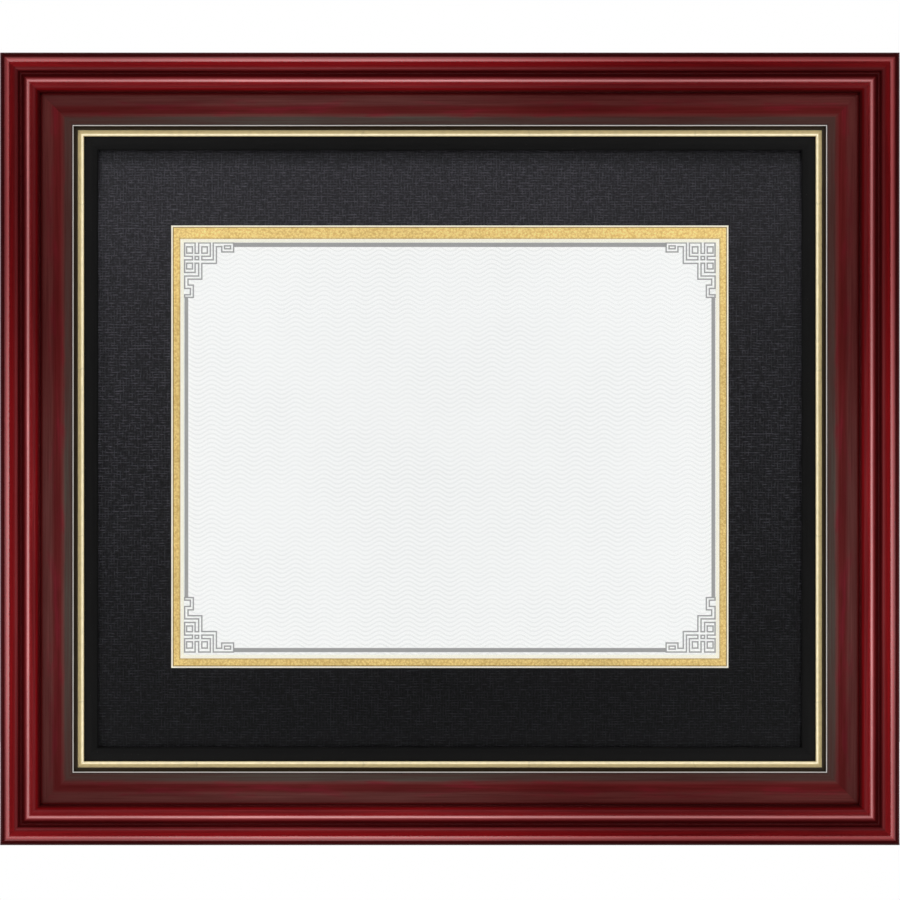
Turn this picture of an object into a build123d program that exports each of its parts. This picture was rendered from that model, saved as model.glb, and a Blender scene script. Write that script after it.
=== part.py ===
from build123d import *
import os
from math import radians, sin

# Certificate frame for one landscape letter sheet, in millimetres.
# X runs to the viewer's right, Z runs up, and the front faces -Y.
# A profile is drawn as (inwards, forwards): inwards from the frame's outer edge,
# forwards from the rails' backs.

# Outer size and depth
FRAME_WIDTH = 454.0
FRAME_HEIGHT = 400.0
CREST_HEIGHT = 30.0
BUMPER_HEIGHT = 3.2

# Widths of the moulding, from the outer edge to where each strip ends
RABBET_AT = 29.0
LIP_AT = 36.9
GOLD_AT = 42.0
LINER_AT = 49.0

# Cherry rail: side, outer bead, groove, inner bead, step, cove and rim
# An arc is (radius, degrees turned), and the arcs of a bead run on from its crest, outwards or inwards
BACK_EASE = 0.8
OUTER_BEAD_HEIGHT = 29.4
OUTER_BEAD_CROWN = (8.0, 18.0)
OUTER_BEAD_SIDE_RADIUS = 3.4
OUTER_BEAD_INWARD_ARC = (9.0, 30.0)
GROOVE_BOTTOM = (10.5, 27.1)
INNER_BEAD_AT = 15.75
INNER_BEAD_OUTWARD_ARCS = ((6.0, 17.0), (12.0, 8.0), (1.5, 45.0))
INNER_BEAD_INWARD_ARC = (5.6, 52.0)
STEP_FOOT = (20.4, 24.0)
COVE_START = (21.0, 24.0)
COVE_END = (35.9, 20.6)
RIM_RADIUS = 0.5

# Gold bead: a tongue under the rail's lip, and a slope that rises to a round at the sight edge
GOLD_TONGUE = 1.0
GOLD_TONGUE_AT = 30.0
GOLD_FOOT = 38.9
GOLD_ROUND = (0.9, 48.0)
GOLD_RISE = 2.0

# Black liner: a flat strip that falls gently to its own sight edge
LINER_THICKNESS = 3.2
LINER_BACK_AT = 29.5
LINER_FLAT_END = 42.8
LINER_FALL = 1.0
LINER_EDGE_ROUND = 0.6

# Sheets of the pack, from the back
PACK_CLEARANCE = 1.0
BACKING_SETBACK = 0.3
BACKING_THICKNESS = 3.0
FILLER_THICKNESS = 3.0
MOUNT_BOARD_THICKNESS = 1.4
PAPER_SPACE = 0.35
SHEET_THICKNESS = 0.2
GOLD_MAT_THICKNESS = 2.0
BLACK_MAT_THICKNESS = 1.0
MAT_FACE_THICKNESS = 0.25
GLASS_THICKNESS = 2.0
GLASS_ARRIS = 0.3

# Windows and the sheet, with how far each centre lies above the frame's
BLACK_WINDOW = (282.7, 224.6)
BLACK_WINDOW_RAISE = 1.1
GOLD_WINDOW = (273.6, 213.0)
GOLD_WINDOW_RAISE = 0.1
SHEET = (279.4, 215.9)
SHEET_RAISE = 0.7
CORNER_MARGIN = 1.2
CORNER_LEG = 9.5
TAPE = (340.0, 18.0)
TAPE_INSET = 3.0

# V-nails across each mitre
V_NAIL_PLACES = (8.5, 20.0)
V_NAIL_WING = 4.6
V_NAIL_DROP = 2.6
V_NAIL_STEEL = 0.6
V_NAIL_LENGTH = 9.0

# Turn buttons and their screws
BUTTON_PIVOT_AT = 22.0
BUTTON_GAP = 0.05
BUTTON_STEEL = 1.2
BUTTON_HEEL_RADIUS = 6.5
BUTTON_TOE_RADIUS = 4.0
BUTTON_REACH = 20.5
BUTTON_LIFT = 1.0
BUTTON_LIFT_START = 13.0
BUTTON_LIFT_END = 16.0
BUTTON_FROM_CENTRE = 118.0
SCREW_RADIUS = 1.75
SCREW_CLEARANCE = 0.08
SCREW_LENGTH = 12.0
SCREW_POINT = 3.0
SCREW_HEAD_RADIUS = 3.4
SCREW_HEAD_HEIGHT = 1.7
SCREW_HEAD_TOP_RADIUS = 2.3
SCREW_HEAD_GAP = 0.1
RECESS = (3.4, 0.8, 0.9)

# Sawtooth hanger and its nails
HANGER_LENGTH = 64.0
HANGER_WIDTH = 11.0
HANGER_STEEL = 1.0
HANGER_CLEARANCE = 1.6
HANGER_FOOT = 11.0
HANGER_JOGGLE = 3.0
HANGER_CENTRE_AT = 16.0
TOOTH_COUNT = 11
TOOTH_PITCH = 3.0
TOOTH_DEPTH = 2.2
NAIL_RADIUS = 0.9
NAIL_LENGTH = 12.0
NAIL_POINT = 2.0
NAIL_HEAD_RADIUS = 2.3
NAIL_HEAD_HEIGHT = 0.7
NAIL_FROM_END = 4.5

# Rubber wall bumpers on the lower corners
BUMPER_RADIUS = 5.5
BUMPER_TOP_RADIUS = 4.2
BUMPER_INSET = 14.5

# The origin is the middle of the whole frame, bumpers included
BACK_Y = (CREST_HEIGHT + BUMPER_HEIGHT) / 2 - BUMPER_HEIGHT

# How far forward the back of each layer lies from the rails' backs
BACKING_BACK = BACKING_SETBACK
FILLER_BACK = BACKING_BACK + BACKING_THICKNESS
MOUNT_BOARD_BACK = FILLER_BACK + FILLER_THICKNESS
SHEET_BACK = MOUNT_BOARD_BACK + MOUNT_BOARD_THICKNESS
GOLD_MAT_BACK = SHEET_BACK + PAPER_SPACE
BLACK_MAT_BACK = GOLD_MAT_BACK + GOLD_MAT_THICKNESS
GLASS_BACK = BLACK_MAT_BACK + BLACK_MAT_THICKNESS
LINER_BACK = GLASS_BACK + GLASS_THICKNESS
TONGUE_BACK = LINER_BACK + LINER_THICKNESS
RABBET_TOP = TONGUE_BACK + GOLD_TONGUE

PACK_WIDTH = FRAME_WIDTH - 2 * (RABBET_AT + PACK_CLEARANCE)
PACK_HEIGHT = FRAME_HEIGHT - 2 * (RABBET_AT + PACK_CLEARANCE)

OUTWARD = {
    "top": Vector(0, 0, 1),
    "bottom": Vector(0, 0, -1),
    "left": Vector(-1, 0, 0),
    "right": Vector(1, 0, 0),
}


def save(part, name):
    """Labels a finished piece and writes its file."""
    part.label = name
    export_step(part, f"parts/{name}.step")


def half_across(side):
    """Distance from the frame's centre to one side's outer edge."""
    return (FRAME_HEIGHT if side in ("top", "bottom") else FRAME_WIDTH) / 2


def half_along(side):
    """Half the length of one side."""
    return (FRAME_WIDTH if side in ("top", "bottom") else FRAME_HEIGHT) / 2


def profile_plane(side):
    """Plane across the middle of a side: x inwards, y towards the viewer, z along the side."""
    inward = OUTWARD[side] * -1
    origin = OUTWARD[side] * half_across(side) + Vector(0, BACK_Y, 0)
    return Plane(origin=origin, x_dir=inward, z_dir=inward.cross(Vector(0, -1, 0)))


def facing_plane(forward, x=0.0, z=0.0):
    """Plane that faces the viewer, at a height forward of the rails' backs."""
    return Plane(origin=(x, BACK_Y - forward, z), x_dir=(1, 0, 0), z_dir=(0, -1, 0))


def back_plane(x, z, inward):
    """Plane on the rails' backs that faces the wall, with x pointing inwards across the rail."""
    return Plane(origin=(x, BACK_Y, z), x_dir=inward, z_dir=(0, 1, 0))


def cut_mitres(side):
    """Trims the stick being built at 45 degrees at both ends."""
    plane = profile_plane(side)
    for end in (1, -1):
        corner = plane.origin + plane.z_dir * (end * half_along(side))
        mitre = Plane(origin=corner, z_dir=plane.x_dir + plane.z_dir * end)
        split(bisect_by=mitre, keep=Keep.BOTTOM)


def run_arcs(start, outwards, *arcs):
    """Draws arcs that fall away from a bead's crest, each smooth with the last, and returns their end."""
    heading = (-1, 0) if outwards else (1, 0)
    for radius, turn in arcs:
        arc = JernArc(start, heading, radius, turn if outwards else -turn)
        start, heading = arc @ 1, arc % 1
    return start


def draw_rail():
    """Section of the cherry rail."""
    # Outer bead: its crown meets the smaller round of the side where it has turned through crown_turn
    crown_radius, crown_turn = OUTER_BEAD_CROWN
    crown_reach = (crown_radius - OUTER_BEAD_SIDE_RADIUS) * sin(radians(crown_turn))
    crest = (OUTER_BEAD_SIDE_RADIUS + crown_reach, OUTER_BEAD_HEIGHT)
    side_top = run_arcs(crest, True, OUTER_BEAD_CROWN, (OUTER_BEAD_SIDE_RADIUS, 90 - crown_turn))
    groove_start = run_arcs(crest, False, OUTER_BEAD_INWARD_ARC)
    # Inner bead, and the round groove between the two beads
    inner_crest = (INNER_BEAD_AT, CREST_HEIGHT)
    groove_end = run_arcs(inner_crest, True, *INNER_BEAD_OUTWARD_ARCS)
    ThreePointArc(groove_start, GROOVE_BOTTOM, groove_end)
    step_top = run_arcs(inner_crest, False, INNER_BEAD_INWARD_ARC)
    # Step, cove and half-round rim
    Polyline(step_top, STEP_FOOT, COVE_START)
    TangentArc(COVE_END, COVE_START, tangent=(-1, 0))
    rim_end = (LIP_AT, COVE_END[1])
    rim_top = (LIP_AT - RIM_RADIUS, COVE_END[1] + RIM_RADIUS)
    ThreePointArc(COVE_END, rim_top, rim_end)
    # Lip, rabbet, back and side
    Polyline(
        rim_end,
        (LIP_AT, RABBET_TOP),
        (RABBET_AT, RABBET_TOP),
        (RABBET_AT, 0),
        (BACK_EASE, 0),
        (0, BACK_EASE),
        side_top,
    )


def draw_gold_bead():
    """Section of the gold bead and the tongue that is glued under the rail's lip."""
    round_radius, _ = GOLD_ROUND
    crest = (GOLD_AT - round_radius, RABBET_TOP + GOLD_RISE)
    shoulder = (GOLD_AT, RABBET_TOP + GOLD_RISE - round_radius)
    slope_top = run_arcs(crest, True, GOLD_ROUND)
    TangentArc(crest, shoulder, tangent=(1, 0))
    Polyline(
        shoulder,
        (GOLD_AT, TONGUE_BACK),
        (GOLD_TONGUE_AT, TONGUE_BACK),
        (GOLD_TONGUE_AT, RABBET_TOP),
        (GOLD_FOOT, RABBET_TOP),
        slope_top,
    )


def draw_liner():
    """Section of the black liner that shows between the gold bead and the mat."""
    fall_start = (LINER_FLAT_END, TONGUE_BACK)
    fall_end = (LINER_AT - LINER_EDGE_ROUND, TONGUE_BACK - LINER_FALL)
    edge = (LINER_AT, TONGUE_BACK - LINER_FALL - LINER_EDGE_ROUND)
    Polyline(
        edge,
        (LINER_AT, LINER_BACK),
        (LINER_BACK_AT, LINER_BACK),
        (LINER_BACK_AT, TONGUE_BACK),
        fall_start,
    )
    fall = TangentArc(fall_start, fall_end, tangent=(1, 0))
    TangentArc(fall_end, edge, tangent=fall % 1)


def mitred_stick(side, draw_section):
    """One straight stick of the frame with mitred ends."""
    with BuildPart() as stick:
        with BuildSketch(profile_plane(side)):
            with BuildLine():
                draw_section()
            make_face()
        extrude(amount=half_along(side), both=True)
        cut_mitres(side)
    return stick.part


def sheet(size, back, thickness, raised=0.0):
    """A plain rectangular sheet of the pack."""
    with BuildPart() as flat:
        with BuildSketch(facing_plane(back, z=raised)):
            Rectangle(*size)
        extrude(amount=thickness)
    return flat.part


def mat_layer(back, thickness, window, raised, depth):
    """One layer of a mat, with a window whose 45 degree bevel narrows towards the sheet.
    depth is how far the layer's front lies behind the mat's face, where the window has its stated size."""
    with BuildPart() as layer:
        add(sheet((PACK_WIDTH, PACK_HEIGHT), back, thickness))
        for inset, forward in ((depth, back + thickness), (depth + thickness, back)):
            with BuildSketch(facing_plane(forward, z=raised)):
                Rectangle(window[0] - 2 * inset, window[1] - 2 * inset)
        loft(mode=Mode.SUBTRACT)
    return layer.part


def turn_button_sites():
    """Name, pivot and inward direction of every turn button, left and right as seen from the front."""
    sites = []
    for side, outward in OUTWARD.items():
        pivot = outward * (half_across(side) - BUTTON_PIVOT_AT)
        if side in ("left", "right"):
            sites.append((f"turn_button_{side}", pivot, outward * -1))
            continue
        for word, sign in (("left", -1), ("right", 1)):
            shifted = pivot + Vector(sign * BUTTON_FROM_CENTRE, 0, 0)
            sites.append((f"turn_button_{side}_{word}", shifted, outward * -1))
    return sites


def turn_button(pivot, inward):
    """A pressed steel plate, wide at its screw and narrow at its toe, which is lifted as a finger grip."""
    base = back_plane(pivot.X, pivot.Z, inward).offset(BUTTON_GAP)
    edge_on = Plane(origin=base.origin, x_dir=base.x_dir, z_dir=base.x_dir.cross(base.z_dir))
    low = [
        (-BUTTON_REACH, 0),
        (BUTTON_LIFT_START, 0),
        (BUTTON_LIFT_END, BUTTON_LIFT),
        (BUTTON_REACH + 1, BUTTON_LIFT),
    ]
    high = [(x, y + BUTTON_STEEL) for x, y in reversed(low)]
    with BuildPart() as button:
        with BuildSketch(base):
            Circle(BUTTON_HEEL_RADIUS)
            with Locations((BUTTON_REACH - BUTTON_TOE_RADIUS, 0)):
                Circle(BUTTON_TOE_RADIUS)
            make_hull()
        extrude(amount=BUTTON_LIFT + BUTTON_STEEL)
        with BuildSketch(edge_on):
            Polygon(*low, *high, align=None)
        extrude(amount=2 * BUTTON_HEEL_RADIUS, both=True, mode=Mode.INTERSECT)
        with BuildSketch(base):
            Circle(SCREW_RADIUS + SCREW_CLEARANCE)
        extrude(amount=BUTTON_STEEL, mode=Mode.SUBTRACT)
    return button.part


def screw(plane):
    """Pan-head wood screw whose plain shank is the pin that a turn button swings on.
    The plane lies on the rail's back and faces the wall. Its x axis sets how the cross recess lies."""
    head_base = BUTTON_GAP + BUTTON_STEEL + SCREW_HEAD_GAP
    head_top = head_base + SCREW_HEAD_HEIGHT
    half_section = Plane(origin=plane.origin, x_dir=plane.x_dir, z_dir=plane.x_dir.cross(plane.z_dir))
    with BuildPart() as fastener:
        with BuildSketch(half_section):
            with BuildLine():
                Polyline(
                    (0, head_top),
                    (0, -SCREW_LENGTH),
                    (SCREW_RADIUS, SCREW_POINT - SCREW_LENGTH),
                    (SCREW_RADIUS, head_base),
                    (SCREW_HEAD_RADIUS, head_base),
                    (SCREW_HEAD_TOP_RADIUS, head_top),
                    close=True,
                )
            make_face()
        revolve(axis=Axis(plane.origin, plane.z_dir))
        with BuildSketch(plane.offset(head_top)):
            Rectangle(RECESS[0], RECESS[1])
            Rectangle(RECESS[1], RECESS[0])
        extrude(amount=-RECESS[2], mode=Mode.SUBTRACT)
    return fastener.part


def nail(plane, head_base):
    """Flat-headed nail driven through a hanger foot."""
    half_section = Plane(origin=plane.origin, x_dir=plane.x_dir, z_dir=plane.x_dir.cross(plane.z_dir))
    with BuildPart() as fastener:
        with BuildSketch(half_section):
            with BuildLine():
                Polyline(
                    (0, -NAIL_LENGTH),
                    (NAIL_RADIUS, NAIL_POINT - NAIL_LENGTH),
                    (NAIL_RADIUS, head_base),
                    (NAIL_HEAD_RADIUS, head_base),
                    (NAIL_HEAD_RADIUS, head_base + NAIL_HEAD_HEIGHT),
                    (0, head_base + NAIL_HEAD_HEIGHT),
                    close=True,
                )
            make_face()
        revolve(axis=Axis(plane.origin, plane.z_dir))
    return fastener.part


os.makedirs("parts", exist_ok=True)

# Two V-nails across each mitre, pressed in flush from the back
with BuildPart() as corner_v_nails:
    for sign_x in (-1, 1):
        for sign_z in (-1, 1):
            inward = Vector(-sign_x, 0, -sign_z).normalized()
            across = Vector(sign_z, 0, -sign_x).normalized()
            outer_corner = Vector(sign_x * FRAME_WIDTH / 2, BACK_Y, sign_z * FRAME_HEIGHT / 2)
            for place in V_NAIL_PLACES:
                apex = outer_corner + Vector(-sign_x * place, 0, -sign_z * place)
                plane = Plane(origin=apex, x_dir=across, z_dir=across.cross(inward))
                deeper = V_NAIL_LENGTH if plane.z_dir.Y < 0 else -V_NAIL_LENGTH
                with BuildSketch(plane):
                    with BuildLine() as wings:
                        Polyline((-V_NAIL_WING, V_NAIL_DROP), (0, 0), (V_NAIL_WING, V_NAIL_DROP))
                    trace(wings.line, line_width=V_NAIL_STEEL)
                extrude(amount=deeper)
save(corner_v_nails.part, "corner_v_nails")

# One screw under each turn button
with BuildPart() as turn_button_screws:
    for name, pivot, inward in turn_button_sites():
        add(screw(back_plane(pivot.X, pivot.Z, inward)))
save(turn_button_screws.part, "turn_button_screws")

# Nails of the sawtooth hanger
hanger_z = FRAME_HEIGHT / 2 - HANGER_CENTRE_AT
with BuildPart() as hanger_nails:
    for sign_x in (-1, 1):
        place = back_plane(sign_x * (HANGER_LENGTH / 2 - NAIL_FROM_END), hanger_z, (1, 0, 0))
        add(nail(place, HANGER_STEEL))
save(hanger_nails.part, "hanger_nails")

# Four mitred cherry rails, with pockets where the V-nails, screws and nails sit
for side in OUTWARD:
    with BuildPart() as rail:
        add(mitred_stick(side, draw_rail))
        add(corner_v_nails.part, mode=Mode.SUBTRACT)
        add(turn_button_screws.part, mode=Mode.SUBTRACT)
        if side == "top":
            add(hanger_nails.part, mode=Mode.SUBTRACT)
    save(rail.part, f"rail_{side}")

# Gold bead and black liner, mitred like the rails
for side in OUTWARD:
    save(mitred_stick(side, draw_gold_bead), f"gold_bead_{side}")
    save(mitred_stick(side, draw_liner), f"black_liner_{side}")

# Glass with its arrises eased
with BuildPart() as glass_pane:
    add(sheet((PACK_WIDTH, PACK_HEIGHT), GLASS_BACK, GLASS_THICKNESS))
    rims = glass_pane.faces().filter_by(Axis.Y).edges()
    chamfer(rims, length=GLASS_ARRIS)
save(glass_pane.part, "glass_pane")

# Two bevelled mats, each a facing paper on a cream core
for name, back, thickness, window, raised in (
    ("black_mat", BLACK_MAT_BACK, BLACK_MAT_THICKNESS, BLACK_WINDOW, BLACK_WINDOW_RAISE),
    ("gold_mat", GOLD_MAT_BACK, GOLD_MAT_THICKNESS, GOLD_WINDOW, GOLD_WINDOW_RAISE),
):
    core = thickness - MAT_FACE_THICKNESS
    save(mat_layer(back, core, window, raised, MAT_FACE_THICKNESS), f"{name}_core")
    save(mat_layer(back + core, MAT_FACE_THICKNESS, window, raised, 0.0), f"{name}_face")

# The certificate sheet and the paper corners that hold it to the mount board
save(sheet(SHEET, SHEET_BACK, SHEET_THICKNESS, SHEET_RAISE), "certificate")
with BuildPart() as mounting_corners:
    for sign_x in (-1, 1):
        for sign_z in (-1, 1):
            reach_x = sign_x * (SHEET[0] / 2 + CORNER_MARGIN)
            reach_z = sign_z * (SHEET[1] / 2 + CORNER_MARGIN)
            with BuildSketch(facing_plane(SHEET_BACK, z=SHEET_RAISE)):
                Polygon(
                    (reach_x, reach_z),
                    (reach_x - sign_x * CORNER_LEG, reach_z),
                    (reach_x, reach_z - sign_z * CORNER_LEG),
                    align=None,
                )
            extrude(amount=PAPER_SPACE)
    with BuildSketch(facing_plane(SHEET_BACK, z=SHEET_RAISE)):
        Rectangle(*SHEET)
    extrude(amount=SHEET_THICKNESS, mode=Mode.SUBTRACT)
save(mounting_corners.part, "mounting_corners")

# Linen tape that hinges the mats to the mount board, and the boards behind
tape_z = (PACK_HEIGHT - TAPE[1]) / 2 - TAPE_INSET
save(sheet(TAPE, SHEET_BACK, PAPER_SPACE, tape_z), "mat_hinge_tape")
save(sheet((PACK_WIDTH, PACK_HEIGHT), MOUNT_BOARD_BACK, MOUNT_BOARD_THICKNESS), "mount_board")
save(sheet((PACK_WIDTH, PACK_HEIGHT), FILLER_BACK, FILLER_THICKNESS), "filler_board")
save(sheet((PACK_WIDTH, PACK_HEIGHT), BACKING_BACK, BACKING_THICKNESS), "backing_board")

# Six turn buttons that hold the backing in
for name, pivot, inward in turn_button_sites():
    save(turn_button(pivot, inward), name)

# Sawtooth hanger: a joggled strip with notches along the lower edge of its raised part
foot_x = HANGER_LENGTH / 2 - HANGER_FOOT
raised_x = foot_x - HANGER_JOGGLE
foot_y = BACK_Y + HANGER_STEEL / 2
raised_y = foot_y + HANGER_CLEARANCE
with BuildPart() as sawtooth_hanger:
    with BuildSketch(Plane.XY.offset(hanger_z - HANGER_WIDTH / 2)):
        with BuildLine() as strip:
            Polyline(
                (-HANGER_LENGTH / 2, foot_y),
                (-foot_x, foot_y),
                (-raised_x, raised_y),
                (raised_x, raised_y),
                (foot_x, foot_y),
                (HANGER_LENGTH / 2, foot_y),
            )
        trace(strip.line, line_width=HANGER_STEEL)
    extrude(amount=HANGER_WIDTH)
    with BuildSketch(facing_plane(BACK_Y - raised_y, z=hanger_z - HANGER_WIDTH / 2)):
        with GridLocations(TOOTH_PITCH, 1, TOOTH_COUNT, 1):
            Polygon((-TOOTH_PITCH / 2, 0), (TOOTH_PITCH / 2, 0), (0, TOOTH_DEPTH), align=None)
    extrude(amount=HANGER_STEEL, both=True, mode=Mode.SUBTRACT)
    add(hanger_nails.part, mode=Mode.SUBTRACT)
save(sawtooth_hanger.part, "sawtooth_hanger")

# Tapered rubber bumpers that keep the lower corners off the wall
for word, sign in (("left", -1), ("right", 1)):
    centre_x = sign * (FRAME_WIDTH / 2 - BUMPER_INSET)
    spot = back_plane(centre_x, BUMPER_INSET - FRAME_HEIGHT / 2, (1, 0, 0))
    with BuildPart() as bumper:
        with BuildSketch(spot):
            Circle(BUMPER_RADIUS)
        with BuildSketch(spot.offset(BUMPER_HEIGHT)):
            Circle(BUMPER_TOP_RADIUS)
        loft()
    save(bumper.part, f"wall_bumper_{word}")
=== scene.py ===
import math

import bmesh
import bpy
from bpy.props import FloatProperty, FloatVectorProperty, PointerProperty
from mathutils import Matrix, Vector


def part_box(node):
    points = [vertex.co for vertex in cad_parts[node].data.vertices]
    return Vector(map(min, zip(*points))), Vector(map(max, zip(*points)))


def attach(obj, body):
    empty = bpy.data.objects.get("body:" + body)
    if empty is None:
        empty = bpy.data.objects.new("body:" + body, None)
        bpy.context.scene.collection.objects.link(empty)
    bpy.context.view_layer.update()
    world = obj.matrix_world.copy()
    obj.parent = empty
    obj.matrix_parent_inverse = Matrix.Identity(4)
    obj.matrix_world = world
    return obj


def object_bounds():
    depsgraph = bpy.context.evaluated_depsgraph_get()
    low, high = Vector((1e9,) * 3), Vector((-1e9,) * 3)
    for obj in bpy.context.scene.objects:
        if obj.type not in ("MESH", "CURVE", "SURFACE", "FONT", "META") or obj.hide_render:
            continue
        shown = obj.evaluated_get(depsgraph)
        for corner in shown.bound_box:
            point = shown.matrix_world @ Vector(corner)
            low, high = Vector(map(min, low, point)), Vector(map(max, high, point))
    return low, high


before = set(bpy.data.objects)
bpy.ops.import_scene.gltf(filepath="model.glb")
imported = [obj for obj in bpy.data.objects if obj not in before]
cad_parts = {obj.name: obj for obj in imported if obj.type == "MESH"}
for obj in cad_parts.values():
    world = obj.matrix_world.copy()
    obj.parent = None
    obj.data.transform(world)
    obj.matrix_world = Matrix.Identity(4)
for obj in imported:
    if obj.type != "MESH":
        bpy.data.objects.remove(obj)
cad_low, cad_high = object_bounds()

bl_info = {
    "name": "Certificate Frame Finishes",
    "version": (1, 0, 0),
    "blender": (4, 5, 0),
    "location": "3D View > Sidebar > Certificate Frame",
    "description": "Finishes a mitred certificate frame, prints its border and sets it on a pale stage",
    "category": "Object",
}

MM = 0.001
# The sides whose sticks lie level and those whose sticks stand upright
STICKS = {"level": ("top", "bottom"), "upright": ("left", "right")}
CENTRE = (cad_low + cad_high) / 2
HALF_WIDTH = (cad_high.x - cad_low.x) / 2 / MM
HALF_HEIGHT = (cad_high.z - cad_low.z) / 2 / MM
RAIL_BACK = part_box("rail_top")[1].y / MM
SHEET_LOW, SHEET_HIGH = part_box("certificate")
SHEET_MIDDLE = (SHEET_LOW + SHEET_HIGH) / 2
# Where the middle of the view lies from the frame's centre, in millimetres to the right and up
VIEW_RIGHT, VIEW_UP = 0.08, -0.58


def tint(red, green, blue):
    """A colour given as it shows on a screen, from 0 to 255, as the linear colour that shaders take."""
    shown = (channel / 255 for channel in (red, green, blue))
    return tuple(c / 12.92 if c <= 0.04045 else ((c + 0.055) / 1.055) ** 2.4 for c in shown)


def colour(name, description, *shown):
    """A colour property whose default is written as it shows on a screen."""
    return FloatVectorProperty(
        name=name, description=description, subtype="COLOR", size=3, min=0, max=1, default=tint(*shown)
    )


def length(name, description, millimetres):
    """A length property whose default is written in millimetres."""
    return FloatProperty(
        name=name, description=description, subtype="DISTANCE", min=0, precision=5, default=millimetres * MM
    )


def share(name, description, default, highest=1.0):
    """A plain number from 0 up."""
    return FloatProperty(
        name=name, description=description, subtype="FACTOR", min=0, max=highest, default=default
    )


def power(name, description, watts):
    """The power of a lamp."""
    return FloatProperty(name=name, description=description, subtype="POWER", min=0, default=watts)


class RailLook(bpy.types.PropertyGroup):
    """Colours and sizes of the cherry rails"""

    cherry: colour("Cherry", "Stain where the glaze is wiped off, on the beads", 104, 3, 7)
    # Worn and Rubbed are painted highlights: lighter stain laid along the crests of the outer and inner
    # beads, where the lamps' highlights fall.
    worn: colour("Worn", "Stain worn thin along the crest of the outer bead", 118, 22, 26)
    rubbed: colour("Rubbed", "Stain rubbed thin along the crest of the inner bead", 184, 108, 110)
    # Painted sheen: a lighter, duller red laid on the slopes beside each crest, where a dim glow of the
    # lamps would show.
    flank_sheen: colour("Flank", "Stain dulled by rubbing, low on the inner side of each bead", 103, 29, 32)
    outer_side: colour("Outer Side", "Glazed stain on the outer sides", 40, 2, 3)
    # Deep Red and Groove are dark glaze and painted shade: they darken the groove and the step, where shade
    # falls. At the edge of the back, Deep Red is a real stain.
    deep_red: colour("Deep Red", "Stain under glaze at the step and at the edge of the back", 58, 3, 4)
    groove: colour("Groove", "Glaze that fills the groove between the beads", 20, 0, 1)
    russet: colour("Russet", "Stain in the middle of the cove", 67, 26, 25)
    # Umber is glaze with painted sheen: a grey-brown laid at both ends of the cove, where a dim reflection
    # shows.
    umber: colour("Umber", "Glaze left in the hollows of the cove", 71, 45, 42)
    charcoal: colour("Charcoal", "Black edging beside the rim", 20, 60, 54)
    blush: colour("Blush", "Patches of stain that show through the glaze of the cove", 90, 22, 34)
    # Painted highlight: a pale line on the front of the rim, where its edge catches the light.
    rim_highlight: colour("Pinstripe", "Pale line on the inner half of the rim", 186, 191, 187)
    raw_wood: colour("Raw Wood", "Bare wood on the back", 168, 128, 92)
    streak_length: length("Streak Length", "How far a streak of the grain runs", 45)
    streak_width: length("Streak Width", "How wide a streak of the grain is", 0.8)
    gloss: share("Gloss Roughness", "Roughness of the clear coat", 0.11)


class BeadLook(bpy.types.PropertyGroup):
    """Colours of the gold beads and black liners"""

    gold: colour("Leaf Gold", "Gold leaf on the bead", 236, 214, 158)
    # Painted highlight: a pale gold laid along the crest of the bead, where the light glints.
    burnished_highlight: colour("Burnished Gold", "Leaf rubbed bright along the crest of the bead", 255, 242, 204)
    # Where the leaf is thin this dark ground is real; beside the bead it is painted shadow.
    bole_and_shadow: colour("Bole", "Dark ground beside the bead and where the leaf is thin", 44, 31, 7)
    black: colour("Liner Black", "Satin black of the liner", 17, 17, 17)
    dust: colour("Dust", "Pale specks in the black paint", 92, 90, 88)
    leaf_width: length("Leaf Width", "Distance between laps of the leaf", 84)


class MatLook(bpy.types.PropertyGroup):
    """Colours and sizes of the mats"""

    linen: colour("Linen", "Black linen facing", 26, 25, 28)
    thread: colour("Thread", "Raised threads of the linen facing", 50, 49, 55)
    foil: colour("Gold Paper", "Grained gold facing", 252, 223, 147)
    foil_shade: colour("Gold Paper Shade", "Hollows of the grain in the gold facing", 224, 184, 105)
    bevel_shade: colour("Crease", "Thin shade where a bevel meets the gold facing", 84, 60, 26)
    core: colour("Core", "Bevelled core of the mats", 255, 251, 236)
    weft_pitch: length("Weft Pitch", "Distance between thick level threads", 1.35)
    warp_pitch: length("Warp Pitch", "Distance between thick upright threads", 1.5)
    fine_pitch: length("Fine Pitch", "Distance between the fine threads", 0.52)
    grain: length("Gold Grain", "Size of the gold facing's grain", 1.0)


class SheetLook(bpy.types.PropertyGroup):
    """The certificate sheet and its printed border"""

    paper: colour("Paper", "Bare certificate paper", 244, 244, 245)
    wave: colour("Wave Ink", "Faint waved lines of the security paper", 228, 229, 230)
    ink: colour("Border Ink", "Grey of the rule and the corner ornament", 154, 154, 155)
    wave_pitch: length("Wave Pitch", "Distance between waved lines", 2.267)
    wave_length: length("Wave Length", "Length of one wave", 14.2)
    wave_height: length("Wave Height", "How far a wave swings from its middle", 1.42)
    wave_drop: length("Wave Drop", "How far the waved lines are let down from the middle", 1.04)
    line_width: length("Line Width", "Width of the ornament's line", 0.7)
    upright_rule: length("Upright Rule", "Width of the rules at the sides", 1.85)
    level_rule: length("Level Rule", "Width of the rules at the top and bottom", 2.1)
    rule_outset: length("Rule Outset", "How far the rules reach over the border's outer line", 0.05)
    ink_height: length("Ink Height", "How far the raised print stands off the sheet", 0.03)
    border_width: length("Border Width", "Width between the outer lines of the border", 268.85)
    border_height: length("Border Height", "Height between the outer lines of the border", 207.4)


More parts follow.
